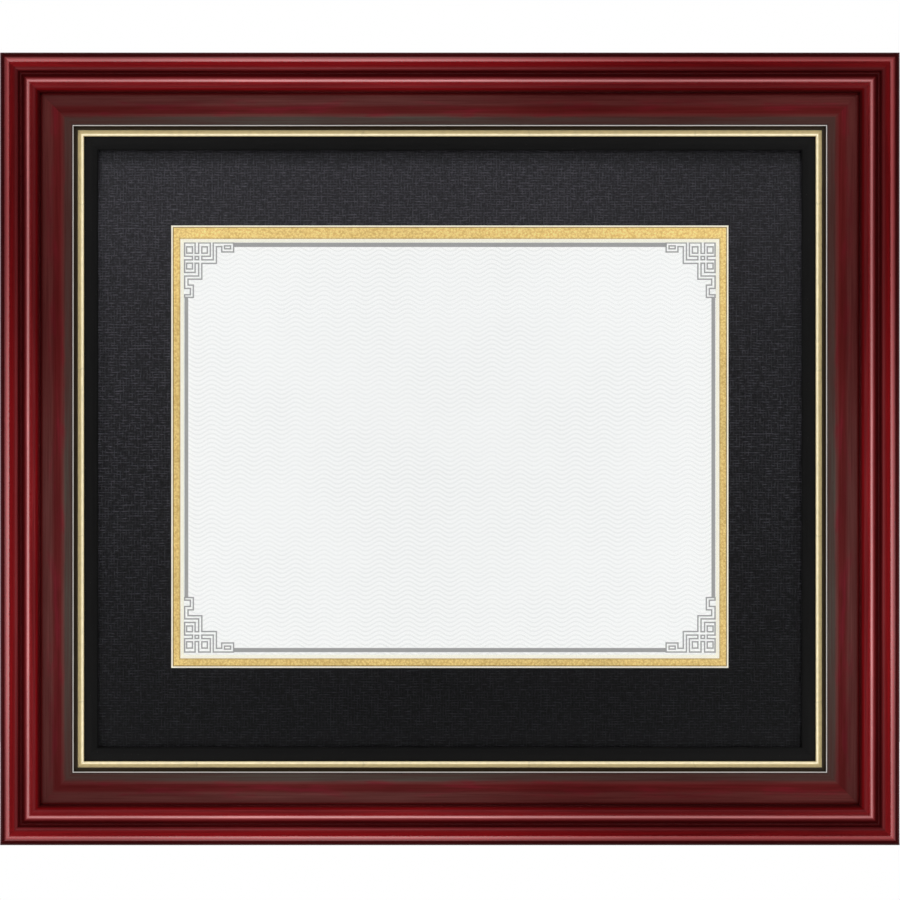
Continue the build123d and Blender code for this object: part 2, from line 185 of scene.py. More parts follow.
class BoardLook(bpy.types.PropertyGroup):
    """Colours of the boards, tape and paper behind the sheet"""

    hardboard: colour("Hardboard", "Face of the backing board", 134, 94, 60)
    fibre: colour("Fibre", "Pale fibres in the backing board", 172, 132, 92)
    dark_fibre: colour("Dark Fibre", "Dark fibres in the backing board", 74, 46, 28)
    kraft: colour("Kraft", "Corrugated filler board", 178, 138, 94)
    board: colour("Mount Board", "Off-white mount board", 240, 235, 222)
    tape: colour("Tape", "White linen tape", 232, 230, 222)
    corner: colour("Corner Paper", "Archival paper of the mounting corners", 236, 234, 226)
    flute: length("Flute", "Distance between flutes of the filler board", 7.2)


class HardwareLook(bpy.types.PropertyGroup):
    """Finishes of the metal and rubber pieces"""

    zinc: colour("Zinc", "Bright zinc plate", 188, 192, 197)
    brass: colour("Brass", "Brass plate of the hanger", 204, 164, 86)
    rubber: colour("Rubber", "Wall bumpers", 36, 34, 33)
    tarnish: colour("Tarnish", "Dull film in the plating", 104, 98, 88)


class StageLook(bpy.types.PropertyGroup):
    """Camera, lamps, floor and surroundings"""

    camera_distance: length("Camera Distance", "From the front of the frame to the camera", 4000)
    view_width: length("View Width", "Width that the view takes in at the front of the frame", 453.7)
    lamp_distance: length("Lamp Distance", "From the front of the frame to the ring of lamps", 900)
    ring_inside: length("Ring Inside", "From the view axis to the near edge of each lamp", 380)
    ring_depth: length("Ring Depth", "Width of each lamp of the ring", 420)
    grid_angle: FloatProperty(
        name="Grid Angle",
        description="Angle that the grid on each lamp of the ring lets light out in",
        subtype="ANGLE",
        default=math.radians(75),
    )
    lamp_power: power("Lamp Power", "Power of each lamp of the ring", 1.7)
    level_share: share("Level Share", "Power of the top and bottom lamps beside the side lamps", 1.05, 4)
    back_power: power("Back Power", "Power of each lamp behind the frame", 14)
    back_size: length("Back Size", "Width and height of each lamp behind the frame", 1200)
    back_aside: length("Back Aside", "How far each of them stands to one side", 1400)
    back_behind: length("Back Behind", "How far they stand behind the frame", 1900)
    back_height: length("Back Height", "How far they stand above the frame's centre", 1100)
    surround: share("Surround", "Grey of the room that lights the object evenly", 0.86)
    floor: colour("Floor", "Pale floor", 240, 240, 239)
    floor_reach: length("Floor Reach", "How far the floor runs to each side and to the back", 1400)
    bead_overhang: length("Bead Overhang", "How far the front bead reaches over the floor's edge", 6.0)


class FrameLooks(bpy.types.PropertyGroup):
    """Every size and colour of the frame's finishes"""

    rails: PointerProperty(type=RailLook)
    beads: PointerProperty(type=BeadLook)
    mats: PointerProperty(type=MatLook)
    sheet: PointerProperty(type=SheetLook)
    boards: PointerProperty(type=BoardLook)
    hardware: PointerProperty(type=HardwareLook)
    stage: PointerProperty(type=StageLook)


def socket_label(word):
    """The label of the surface shader's socket that a keyword stands for."""
    return word.replace("_", " ").title().replace("Ior", "IOR")


class Nodes:
    """A node tree under construction, with a short call for each kind of sum."""

    def __init__(self, tree):
        self.nodes = tree.nodes
        self.links = tree.links

    def add(self, kind, *values, **settings):
        """A new shader node with its settings and its first sockets fed."""
        node = self.nodes.new("ShaderNode" + kind)
        for setting, value in settings.items():
            setattr(node, setting, value)
        for socket, value in zip(node.inputs, values):
            self.feed(socket, value)
        return node

    def feed(self, socket, value):
        """Gives a socket another node's output or a plain value."""
        if isinstance(value, bpy.types.NodeSocket):
            self.links.new(value, socket)
        else:
            socket.default_value = value

    def calc(self, operation, *values):
        """Result of a sum on one, two or three numbers."""
        return self.add("Math", *values, operation=operation).outputs[0]

    def times(self, first, second):
        """Two numbers multiplied."""
        return self.calc("MULTIPLY", first, second)

    def split(self, vector):
        """The three numbers of a vector."""
        return self.add("SeparateXYZ", vector).outputs

    def rays(self):
        """1 for rays straight from the camera, and 1 for those that gloss or a clear pane sends on."""
        ray = self.add("LightPath").outputs
        sent_on = self.calc("MAXIMUM", ray["Is Glossy Ray"], ray["Is Transmission Ray"])
        return ray["Is Camera Ray"], sent_on


class Finish(Nodes):
    """A material under construction, with a short call for each kind of node that the finishes use.
    Coordinates are those of the piece, in millimetres."""

    def __init__(self, name, **constants):
        self.material = bpy.data.materials.new(name)
        self.material.use_nodes = True
        super().__init__(self.material.node_tree)
        self.surface = self.nodes["Principled BSDF"]
        self.output = self.nodes["Material Output"]
        for word, value in constants.items():
            self.surface.inputs[socket_label(word)].default_value = value
        self.coordinates = self.add("TexCoord")
        self.place = self.scaled(self.coordinates.outputs["Object"], (1 / MM, 1 / MM, 1 / MM))
        self.x, self.y, self.z = self.split(self.place)

    def scaled(self, vector, scale):
        """A vector stretched by a factor for each axis."""
        return self.add("VectorMath", vector, scale, operation="MULTIPLY").outputs[0]

    def joined(self, x, y, z):
        """A vector made of three numbers."""
        return self.add("CombineXYZ", x, y, z).outputs[0]

    def noise(self, vector, detail=3.0, roughness=0.5, distortion=0.0):
        """Soft noise, about 0.5 on average, whose lumps are one unit of the vector across."""
        node = self.add("TexNoise", vector)
        node.inputs["Scale"].default_value = 1.0
        node.inputs["Detail"].default_value = detail
        node.inputs["Roughness"].default_value = roughness
        node.inputs["Distortion"].default_value = distortion
        return node.outputs["Fac"]

    def lumps(self, per_mm, *shape):
        """Soft noise with so many lumps to the millimetre, alike in every direction."""
        return self.noise(self.scaled(self.place, (per_mm,) * 3), *shape)

    def pebbles(self, per_mm):
        """Distance to the nearest of scattered points, so many to the millimetre."""
        node = self.add("TexVoronoi", self.scaled(self.place, (per_mm,) * 3), feature="SMOOTH_F1")
        node.inputs["Scale"].default_value = 1.0
        return node.outputs["Distance"]

    def spread(self, value, low, high, to_low=0.0, to_high=1.0):
        """A value carried smoothly from one range to another and kept inside it."""
        ranges = (low, high, to_low, to_high)
        return self.add("MapRange", value, *ranges, interpolation_type="SMOOTHSTEP").outputs["Result"]

    def band(self, value, start, full, fading, end):
        """1 from full to fading, falling to 0 at the start and at the end."""
        return self.times(self.spread(value, start, full), self.spread(value, end, fading))

    def ripple(self, value, pitch):
        """A wave from 0 to 1 that repeats every pitch."""
        turns = self.times(value, math.tau / pitch)
        return self.calc("MULTIPLY_ADD", self.calc("SINE", turns), 0.5, 0.5)

    def blend(self, factor, first, second):
        """A colour between two colours."""
        node = self.add("Mix", data_type="RGBA")
        sockets = [s for s in node.inputs if s.enabled]
        for socket, value in zip(sockets, (factor, opaque(first), opaque(second))):
            self.feed(socket, value)
        return next(s for s in node.outputs if s.enabled)

    def shaded(self, base, amount):
        """A colour made darker or lighter by a factor about 1."""
        return self.scaled(base, self.joined(amount, amount, amount))

    def stops(self, value, stops):
        """A colour read along a line, from pairs of a place from 0 to 1 and a colour."""
        node = self.add("ValToRGB", value)
        ramp = node.color_ramp
        ramp.interpolation = "EASE"
        while len(ramp.elements) < len(stops):
            ramp.elements.new(0.5)
        for element, (place, shade) in zip(ramp.elements, stops):
            element.position = place
            element.color = opaque(shade)
        return node.outputs["Color"]

    def bump(self, height, millimetres, strength=1.0):
        """A normal for relief of a height from 0 to 1 times a depth."""
        node = self.add("Bump")
        node.inputs["Strength"].default_value = strength
        node.inputs["Distance"].default_value = millimetres * MM
        self.feed(node.inputs["Height"], height)
        return node.outputs["Normal"]

    def show(self, **sockets):
        """Links what is worked out to the surface shader's sockets and returns the material."""
        for word, value in sockets.items():
            self.feed(self.surface.inputs[socket_label(word)], value)
        return self.material


def opaque(value):
    """A plain colour with its alpha, or a socket as it is."""
    return value if isinstance(value, bpy.types.NodeSocket) else (*value, 1.0)


def apply_finish(material, *nodes):
    """Puts a material on CAD nodes."""
    for node in nodes:
        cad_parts[node].material_slots[0].material = material


def finish_sticks(make_finish, look, stick):
    """Makes a finish for the level sticks of a kind and one for the upright, and puts them on."""
    for run, sides in STICKS.items():
        apply_finish(make_finish(look, run), *(f"{stick}_{side}" for side in sides))


def run_of(finish, run):
    """Distance along a stick and distance inwards across it, as two numbers."""
    if run == "level":
        return finish.x, finish.calc("SUBTRACT", HALF_HEIGHT, finish.calc("ABSOLUTE", finish.z))
    return finish.z, finish.calc("SUBTRACT", HALF_WIDTH, finish.calc("ABSOLUTE", finish.x))


def drawn_noise(finish, along, inward, long, wide, *shape):
    """Noise stretched along a stick, for grain and brush marks."""
    sizes = ((along, long), (inward, wide), (finish.y, wide))
    stretched = finish.joined(*(finish.calc("DIVIDE", value, size) for value, size in sizes))
    return finish.noise(stretched, *shape)


# Places across the moulding, in millimetres inwards from its outer edge. A band has four: where it
# starts, is full, starts to fade and has ended. A step has two: where it starts and has ended.
GLAZED_WIDTH = 37.0
SIDE_STEP = (2.6, 1.6)
GROOVE_BAND = (9.0, 9.8, 11.6, 12.6)
BEADS_MEET = (11.5, 12.0)
CREST_RISE = (12.4, 13.7)
CREST_FALL = (14.6, 15.1)
WIPED_BAND = (15.0, 15.2, 15.7, 16.3)
HOLLOW_STEP = (18.8, 19.6)
COVE_STEP = (20, 23)
COVE_BAND = (22, 26, 31, 34)
RIM_STEP = (36.36, 36.46)
GOLD_FOOT = (38.75, 39.1)
GOLD_CREST = 41.3
# Where the face of the rim starts and is full, in millimetres in front of the rail's back
RIM_FRONT = (20.65, 20.8)


def glaze_across(finish, look, inward):
    """Colour across a rail: stain and glaze, with painted highlights along the bead crests, painted sheen
    beside the crests and at both ends of the cove, and painted shade in the groove and at the step.
    """
    cherry, deep, umber = look.cherry, look.deep_red, look.umber
    places = (
        (0.0, look.outer_side), (2.0, look.outer_side), (3.8, look.worn), (5.2, cherry), (6.4, cherry),
        (8.25, look.flank_sheen), (9.7, deep), (10.4, look.groove), (10.8, look.groove), (11.6, deep),
        (12.2, deep), (13.1, look.flank_sheen), (14.2, look.rubbed), (15.0, cherry), (17.5, look.flank_sheen),
        (18.6, cherry), (19.6, deep), (20.6, deep), (22.3, umber), (25.4, umber), (27.8, look.russet),
        (30.0, look.russet), (31.2, umber), (33.0, look.charcoal),
    )
    return finish.stops(
        finish.calc("DIVIDE", inward, GLAZED_WIDTH),
        [(place / GLAZED_WIDTH, shade) for place, shade in places],
    )


def coat_across(finish, along, inward, satin):
    """How much clear coat shows: most along the crest of the inner bead, and nearly none where it is rubbed
    to a satin. It falls off towards both ends of the rail, which paints the highlights dimmer there."""
    on_flank, on_satin = 0.16, 0.03
    on_crest = finish.spread(along, -60, 130, 1.0, 0.45)
    inner_bead = finish.spread(inward, *CREST_RISE, on_flank, on_crest)
    inner_bead = finish.spread(inward, *CREST_FALL, inner_bead, on_flank)
    outer_bead = finish.spread(along, -60, 130, 0.56, 0.155)
    coat = finish.spread(inward, *BEADS_MEET, outer_bead, inner_bead)
    coat = finish.times(coat, finish.spread(along, -200, -80, 0.62, 1.0))
    return finish.spread(satin, 0, 1, coat, on_satin)


def cherry_lacquer(look, run):
    """Stained wood with dark glaze wiped off its beads, under a clear coat that is rubbed to a satin
    on the sides, in the groove, beside the inner crest and in the cove. The back is bare.
    Light is painted along the rail: colour and gloss are fullest a little below the middle of an upright or
    left of the middle of a level rail, and are painted darker towards its ends."""
    finish = Finish(
        f"cherry_lacquer_{run}",
        coat_roughness=look.gloss,
        coat_ior=1.9,
        specular_ior_level=1.0,
        specular_tint=(1.0, 0.07, 0.08, 1.0),
    )
    along, inward = run_of(finish, run)
    streak_long = look.streak_length / MM
    streaks = drawn_noise(finish, along, inward, streak_long, look.streak_width / MM, 4, 0.6)
    cloud = drawn_noise(finish, along, inward, 3 * streak_long, 9, 2)
    patches = drawn_noise(finish, along, inward, 24, 5, 3, 0.6)
    pores = finish.spread(drawn_noise(finish, along, inward, 5, 0.28, 1), 0.66, 0.76)
    depth = finish.calc(
        "ADD",
        finish.spread(streaks, 0.25, 0.75, 0.70, 1.24),
        finish.spread(cloud, 0.3, 0.7, -0.14, 0.14),
    )
    depth = finish.times(depth, finish.spread(pores, 0, 1, 1.0, 0.72))
    patchy = finish.spread(patches, 0.46, 0.68, 0.0, 0.6)
    blush = finish.times(finish.band(inward, *COVE_BAND), patchy)
    stained = finish.blend(blush, glaze_across(finish, look, inward), look.blush)
    # Painted light and shade along the rail: darker near its lower or left end, lightest a little below or
    # left of its middle, and darker towards the other end. In the cove its red and its green and blue are
    # shaded apart along the rail.
    painted_end_shade = finish.spread(along, -190, -90, 0.7, 1.0)
    stained = finish.shaded(finish.shaded(stained, depth), painted_end_shade)
    painted_light_on_beads = finish.spread(along, -50, 140, 1.1, 0.56)
    in_cove = finish.spread(inward, *COVE_STEP)
    red = finish.spread(in_cove, 0, 1, painted_light_on_beads, finish.spread(along, -40, 100, 1.0, 0.92))
    other = finish.spread(in_cove, 0, 1, painted_light_on_beads, finish.spread(along, -20, 60, 1.12, 0.76))
    stained = finish.scaled(stained, finish.joined(red, other, other))
    # Painted highlight: the pale line is laid only on the front of the rim's inner half.
    forward = finish.spread(finish.calc("SUBTRACT", RAIL_BACK, finish.y), *RIM_FRONT)
    rim_highlight_mask = finish.times(finish.spread(inward, *RIM_STEP), forward)
    stained = finish.blend(rim_highlight_mask, stained, look.rim_highlight)
    bare = finish.shaded(look.raw_wood, finish.spread(streaks, 0.2, 0.8, 0.72, 1.12))
    seeped = finish.times(finish.calc("SUBTRACT", cloud, 0.5), 7.0)
    edge_stain = finish.spread(finish.calc("ADD", inward, seeped), 0.6, 2.6)
    bare = finish.blend(edge_stain, look.deep_red, bare)
    behind = finish.spread(finish.split(finish.coordinates.outputs["Normal"])[1], 0.80, 0.95)
    relief = finish.calc("MULTIPLY_ADD", streaks, 0.5, finish.times(pores, -0.5))
    satin = finish.calc("MAXIMUM", finish.spread(inward, *SIDE_STEP), finish.spread(inward, *HOLLOW_STEP))
    for places in (GROOVE_BAND, WIPED_BAND):
        satin = finish.calc("MAXIMUM", satin, finish.band(inward, *places))
    coat = coat_across(finish, along, inward, satin)
    return finish.show(
        base_color=finish.blend(behind, stained, bare),
        roughness=finish.spread(behind, 0, 1, finish.spread(satin, 0, 1, 0.30, 0.62), 0.82),
        coat_weight=finish.spread(behind, 0, 1, coat, 0.0),
        normal=finish.bump(relief, 0.014, 0.5),
    )


def leaf_gold(look, run):
    """Gold leaf over a dark ground, rubbed thin in places, with laps where sheets of leaf meet. The crest
    is painted pale as a highlight, and the dark ground is painted at the base of the bead as shadow.
    """
    finish = Finish(f"leaf_gold_{run}", coat_roughness=0.2, specular_ior_level=0.25)
    along, inward = run_of(finish, run)
    brushed = drawn_noise(finish, along, inward, 14, 0.5, 4, 0.6)
    mottle = finish.lumps(0.4, 3)
    wavering = finish.calc("MULTIPLY_ADD", mottle, 4.0, along)
    leaves = finish.calc("DIVIDE", wavering, look.leaf_width / MM)
    from_lap = finish.calc("ABSOLUTE", finish.calc("SUBTRACT", finish.calc("FRACT", leaves), 0.5))
    lap = finish.spread(from_lap, 0.0, 0.008, 1.0, 0.0)
    thin = finish.times(finish.spread(brushed, 0.62, 0.78), finish.spread(mottle, 0.5, 0.7))
    # Painted shadow at the base of the bead, beside the rim, mixed with real wear where the leaf is thin;
    # the crest is painted pale as a highlight.
    foot_shadow = finish.spread(inward, *GOLD_FOOT, 1.0, 0.0)
    worn = finish.calc("MAXIMUM", foot_shadow, finish.times(thin, 0.4))
    from_crest = finish.calc("ABSOLUTE", finish.calc("SUBTRACT", inward, GOLD_CREST))
    gold = finish.blend(finish.spread(from_crest, 0.2, 0.7, 1.0, 0.0), look.gold, look.burnished_highlight)
    gold = finish.shaded(gold, finish.spread(mottle, 0.25, 0.75, 0.93, 1.05))
    gold = finish.shaded(gold, finish.calc("MULTIPLY_ADD", lap, -0.12, 1.0))
    return finish.show(
        base_color=finish.blend(worn, gold, look.bole_and_shadow),
        metallic=finish.calc("MULTIPLY_ADD", worn, -0.18, 0.18),
        coat_weight=finish.calc("MULTIPLY_ADD", worn, -0.45, 0.45),
        roughness=finish.spread(brushed, 0.25, 0.75, 0.26, 0.40),
        normal=finish.bump(finish.calc("ADD", brushed, lap), 0.015, 0.5),
    )


def satin_black(look, run):
    """Black paint on wood, rubbed to a satin."""
    finish = Finish(f"satin_black_{run}", specular_ior_level=0.12)
    along, inward = run_of(finish, run)
    grain = drawn_noise(finish, along, inward, 30, 0.7, 4, 0.6)
    specks = finish.spread(finish.lumps(1.4, 1), 0.74, 0.80)
    paint = finish.shaded(look.black, finish.spread(grain, 0.25, 0.75, 0.85, 1.15))
    return finish.show(
        base_color=finish.blend(finish.times(specks, 0.25), paint, look.dust),
        roughness=finish.spread(grain, 0.25, 0.75, 0.44, 0.58),
        normal=finish.bump(grain, 0.03, 0.5),
    )


def clear_glass():
    """Low-glare glass: nearly all light passes, and its coating lets it mirror only a part of what plain
    glass would."""
    finish = Finish("clear_glass")
    mirrored_part, refraction = 0.18, 1.45
    plain_glass = finish.add("Fresnel", refraction).outputs[0]
    mirror = finish.add("BsdfGlossy", (1.0, 1.0, 1.0, 1.0))
    wiped = finish.noise(finish.scaled(finish.place, (1 / 40, 0.0, 1 / 25)), 3)
    finish.feed(mirror.inputs["Roughness"], finish.spread(wiped, 0.3, 0.8, 0.02, 0.07))
    through = finish.add("BsdfTransparent", (0.992, 0.995, 0.992, 1.0))
    mirrored = finish.times(plain_glass, mirrored_part)
    pane = finish.add("MixShader", mirrored, through.outputs[0], mirror.outputs[0])
    finish.feed(finish.output.inputs["Surface"], pane.outputs[0])
    finish.nodes.remove(finish.surface)
    return finish.material


# Openings in millimetres: half their width, half their height and how far their centre is raised.
SIGHT_OPENING = (178.0, 151.0, 0.0)
BLACK_BEVEL_FOOT = (140.35, 111.3, 1.1)
GOLD_OPENING = (136.8, 106.5, 0.1)


def outside(finish, opening):
    """How far a place lies outside an opening, below 0 inside it."""
    half_width, half_height, raised = opening
    aside = finish.calc("SUBTRACT", finish.calc("ABSOLUTE", finish.x), half_width)
    height = finish.calc("ABSOLUTE", finish.calc("SUBTRACT", finish.z, raised))
    return finish.calc("MAXIMUM", aside, finish.calc("SUBTRACT", height, half_height))


def linen_threads(finish, across, along, pitch):
    """Threads a pitch apart that run along, sway a little, and swell and fade along their length."""

    def stretched(long, wide):
        return finish.joined(finish.calc("DIVIDE", along, long), finish.calc("DIVIDE", across, wide), 0.0)

    sway = finish.noise(stretched(14, 5), 2)
    slub = finish.noise(stretched(3.2, 0.8), 3)
    line = finish.ripple(finish.calc("MULTIPLY_ADD", sway, 1.6, across), pitch)
    return finish.times(line, finish.spread(slub, 0.35, 0.68))


def linen_tone(finish, weave):
    """How light the facing is, as painted light and shade: lighter towards the top and the left, darker at
    the upper right, a painted shadow under the top liner, and painted light along the other liners. Threads
    show most where it is deepest."""
    # Painted light: lighter towards the top and the left.
    height = finish.calc("MULTIPLY_ADD", finish.calc("MINIMUM", finish.x, 0.0), -0.2, finish.z)
    tone = finish.calc(
        "ADD", finish.spread(height, -150, 150, 0.35, 1.6), finish.spread(finish.z, 50, 130, 0.0, 0.42)
    )
    # Painted shade at the upper right.
    upper_right_shade = finish.spread(finish.x, 40, 150, 1.0, finish.spread(finish.z, -60, 150, 1.0, 0.72))
    # Painted shadow under the top liner.
    liner_shadow = finish.spread(finish.z, 142, 148.5, 1.0, 0.6)
    contrast = finish.spread(finish.z, -20, 130, 1.2, 0.15)
    threads_shown = finish.calc("MULTIPLY_ADD", finish.calc("SUBTRACT", weave, 0.3), contrast, 1.0)
    nap = finish.noise(finish.scaled(finish.place, (1 / 0.9, 1 / 0.9, 1 / 0.7)), 2, 0.7)
    nap = finish.spread(nap, 0.3, 0.7, 0.72, 1.28)
    # Painted light along the side and bottom liners.
    liner_light = finish.spread(outside(finish, SIGHT_OPENING), -1.8, -0.2, 0.0, 0.7)
    liner_light = finish.calc("MULTIPLY_ADD", liner_light, finish.spread(finish.z, 110, 146, 1.0, 0.0), 1.0)
    for factor in (upper_right_shade, liner_shadow, threads_shown, nap, liner_light):
        tone = finish.times(tone, factor)
    return tone


def linen_facing(look):
    """Black paper embossed as linen: a fine plain weave with thicker threads here and there."""
    finish = Finish("black_linen", roughness=0.5, specular_ior_level=0.15)
    coarse_level = linen_threads(finish, finish.z, finish.x, look.weft_pitch / MM)
    coarse_upright = linen_threads(finish, finish.x, finish.z, look.warp_pitch / MM)
    fine = finish.calc(
        "MAXIMUM", *(finish.ripple(across, look.fine_pitch / MM) for across in (finish.z, finish.x))
    )
    weave = finish.calc("MAXIMUM", coarse_level, finish.times(coarse_upright, 0.75))
    black = finish.blend(finish.calc("POWER", weave, 1.4), look.linen, look.thread)
    return finish.show(
        base_color=finish.shaded(black, linen_tone(finish, weave)),
        normal=finish.bump(finish.calc("MULTIPLY_ADD", fine, 0.25, weave), 0.12, 0.8),
    )


def gold_facing(look):
    """Gold paper with a fine pebbled grain, painted lighter towards the top, and with thin lines of painted
    shade where the bevels meet it.
    """
    finish = Finish("gold_foil_paper", metallic=0.35, specular_ior_level=0.5)
    per_mm = 1 / (look.grain / MM)
    fine = finish.lumps(2.2 * per_mm, 3, 0.6)
    grain = finish.calc("MULTIPLY_ADD", fine, 0.6, finish.times(finish.pebbles(per_mm), 0.7))
    cloud = finish.lumps(0.05, 2)
    foil = finish.blend(finish.spread(grain, 0.35, 0.85), look.foil, look.foil_shade)
    # Painted light: the gold is painted lighter towards the top.
    tone = finish.calc(
        "ADD", finish.spread(cloud, 0.3, 0.7, -0.06, 0.05), finish.spread(finish.z, 40, 106, 1.0, 1.16)
    )
    # Painted shade: thin dark lines under the black mat's bevel and along the edge of the gold opening.
    bevel_shadow = finish.spread(outside(finish, BLACK_BEVEL_FOOT), -0.7, -0.2, 0.0, 0.75)
    cut_edge_shade = finish.spread(outside(finish, GOLD_OPENING), 0.5, 0.1, 0.0, 0.3)
    foil = finish.blend(finish.calc("MAXIMUM", bevel_shadow, cut_edge_shade), foil, look.bevel_shade)
    return finish.show(
        base_color=finish.shaded(foil, tone),
        roughness=finish.spread(fine, 0.3, 0.7, 0.36, 0.5),
        normal=finish.bump(grain, 0.05, 0.5),
    )


def pulp(name, shade, lump=1.2, relief=0.03):
    """Uncoated paper or board: soft lumps and fine fibres."""
    finish = Finish(name, roughness=0.85, specular_ior_level=0.25)
    lumps = finish.lumps(1 / lump, 4, 0.6)
    fibre = finish.noise(finish.scaled(finish.place, (0.5, 3.0, 3.0)), 2, distortion=1.5)
    return finish.show(
        base_color=finish.shaded(shade, finish.spread(lumps, 0.25, 0.75, 0.965, 1.02)),
        normal=finish.bump(finish.calc("ADD", lumps, fibre), relief, 0.4),
    )


def certificate_paper(look):
    """Pale security paper: parallel waved lines printed so faintly that they show as a tint."""
    finish = Finish("certificate_paper", roughness=0.72, specular_ior_level=0.3)
    wave = finish.calc("COSINE", finish.times(finish.x, math.tau / (look.wave_length / MM)))
    lowered = finish.calc("ADD", finish.z, look.wave_drop / MM)
    swung = finish.calc("MULTIPLY_ADD", wave, look.wave_height / MM, lowered)
    line = finish.spread(finish.ripple(swung, look.wave_pitch / MM), 0.45, 1.0)
    patchy = finish.spread(finish.lumps(1 / 45, 2), 0.35, 0.65, 0.52, 0.78)
    line = finish.times(line, patchy)
    fibre = finish.noise(finish.scaled(finish.place, (1.1, 1.1, 2.6)), 4, 0.6)
    paper = finish.blend(line, look.paper, look.wave)
    return finish.show(
        base_color=finish.shaded(paper, finish.spread(fibre, 0.25, 0.75, 0.99, 1.005)),
        normal=finish.bump(fibre, 0.02, 0.3),
    )


def border_ink(look):
    """Matt grey ink, a little broken up by the paper."""
    finish = Finish("border_ink", roughness=0.7, specular_ior_level=0.3)
    broken = finish.lumps(2.4, 3, 0.6)
    return finish.show(
        base_color=finish.shaded(look.ink, finish.spread(broken, 0.25, 0.75, 0.94, 1.05)),
        roughness=finish.spread(broken, 0.3, 0.7, 0.62, 0.78),
        normal=finish.bump(broken, 0.01, 0.4),
    )


def hardboard(look):
    """Pressed brown board, dense and smooth, with pale and dark fibres."""
    finish = Finish("hardboard", specular_ior_level=0.35)
    mottle = finish.lumps(0.09, 5, 0.65)
    curled = finish.lumps(0.9, 3, 0.6, 2.2)
    pale = finish.spread(curled, 0.58, 0.72)
    dark = finish.spread(curled, 0.40, 0.28)
    ground = finish.shaded(look.hardboard, finish.spread(mottle, 0.3, 0.7, 0.86, 1.1))
    ground = finish.blend(finish.times(pale, 0.55), ground, look.fibre)
    ground = finish.blend(finish.times(dark, 0.5), ground, look.dark_fibre)
    return finish.show(
        base_color=ground,
        roughness=finish.spread(mottle, 0.3, 0.7, 0.42, 0.62),
        normal=finish.bump(curled, 0.05, 0.4),
    )


def corrugated(look):
    """Kraft board with the flutes just showing through the liner."""
    finish = Finish("corrugated_board", roughness=0.8, specular_ior_level=0.25)
    flutes = finish.ripple(finish.x, look.flute / MM)
    speck = finish.lumps(1.0, 4, 0.6)
    tone = finish.calc("MULTIPLY_ADD", flutes, 0.08, finish.spread(speck, 0.25, 0.75, 0.88, 1.0))
    return finish.show(
        base_color=finish.shaded(look.kraft, tone),
        normal=finish.bump(finish.calc("MULTIPLY_ADD", speck, 0.2, flutes), 0.15, 0.5),
    )


def linen_tape(look):
    """White gummed tape with a close plain weave."""
    finish = Finish("linen_tape", roughness=0.8, specular_ior_level=0.25)
    pitch = 0.6
    weave = finish.times(finish.ripple(finish.x, pitch), finish.ripple(finish.z, pitch))
    uneven = finish.spread(finish.lumps(0.6, 2), 0.3, 0.7, 0.86, 0.92)
    tone = finish.calc("MULTIPLY_ADD", weave, 0.12, uneven)
    return finish.show(base_color=finish.shaded(look.tape, tone), normal=finish.bump(weave, 0.08, 0.6))


def plated(name, shade, tarnish, roughness):
    """Plated steel: a soft spangle, fine rolling marks and a little dull film."""
    finish = Finish(name, metallic=1.0)
    spangle = finish.lumps(0.35, 3, 0.6, 0.8)
    rolled = finish.noise(finish.scaled(finish.place, (0.25, 5.0, 5.0)), 3, 0.6)
    film = finish.spread(finish.lumps(0.8, 4, 0.7), 0.55, 0.75)
    metal = finish.shaded(shade, finish.spread(spangle, 0.3, 0.7, 0.86, 1.04))
    drawn = finish.spread(rolled, 0.3, 0.7, roughness - 0.06, roughness + 0.08)
    return finish.show(
        base_color=finish.blend(finish.times(film, 0.35), metal, tarnish),
        roughness=finish.calc("MULTIPLY_ADD", film, 0.18, drawn),
        normal=finish.bump(finish.calc("MULTIPLY_ADD", rolled, 0.4, spangle), 0.03, 0.35),
    )


def moulded_rubber(look):
    """Soft black rubber with a dry, slightly pitted skin."""
    finish = Finish("rubber", specular_ior_level=0.4)
    skin = finish.lumps(2.5, 4, 0.6)
    bloom = finish.spread(finish.lumps(0.3, 2), 0.3, 0.7, 0.85, 1.25)
    return finish.show(
        base_color=finish.shaded(look.rubber, bloom),
        roughness=finish.spread(skin, 0.3, 0.7, 0.66, 0.84),
        normal=finish.bump(skin, 0.08, 0.5),
    )


# Corner ornament as alternate runs across and down from its upper left corner, in millimetres.
# The walk starts and ends at FRET_START and closes on itself.
FRET_START = (0.0, 6.8)
FRET_RUNS = (
    (0.0, -6.8), (5.3, 5.3), (1.8, -5.3), (5.9, 6.8), (-4.3, 1.8), (5.8, -8.6), (10.3, 4.6),
    (-6.0, -2.7), (-2.7, 8.5), (-7.4, 8.0), (-7.0, 3.0), (2.7, 6.2), (-4.4, -1.3), (2.9, -3.2),
    (-2.9, -6.3), (7.1, -6.5), (-1.8, 4.7), (-5.3, -6.4), (3.95, -1.8),
)
# Closed boxes inside the ornament: left, right, top, bottom
FRET_BOXES = (
    (1.0, 3.95, 2.0, 5.2), (8.7, 11.5, 2.0, 5.2), (1.0, 3.95, 10.3, 13.2), (5.3, 7.1, 6.9, 8.5),
    (20.2, 23.3, 1.5, 3.0),
)
# How far the ornament reaches across and down
FRET_REACH = (24.8, 27.6)


def fret_lines():
    """The closed lines of one corner ornament, as lists of points across and down from its corner."""
    across, down = FRET_START
    walk = [(across, down)]
    for run, fall in FRET_RUNS:
        if run:
            across += run
            walk.append((across, down))
        down += fall
        walk.append((across, down))
    boxes = [
        [(left, top), (right, top), (right, bottom), (left, bottom)]
        for left, right, top, bottom in FRET_BOXES
    ]
    return [walk, *boxes]


def print_vertex(builder, across, up, raised):
    """A vertex so far across and up from the sheet's middle, and so far off its face, in metres."""
    return builder.verts.new((SHEET_MIDDLE.x + across, SHEET_LOW.y - raised, SHEET_MIDDLE.z + up))


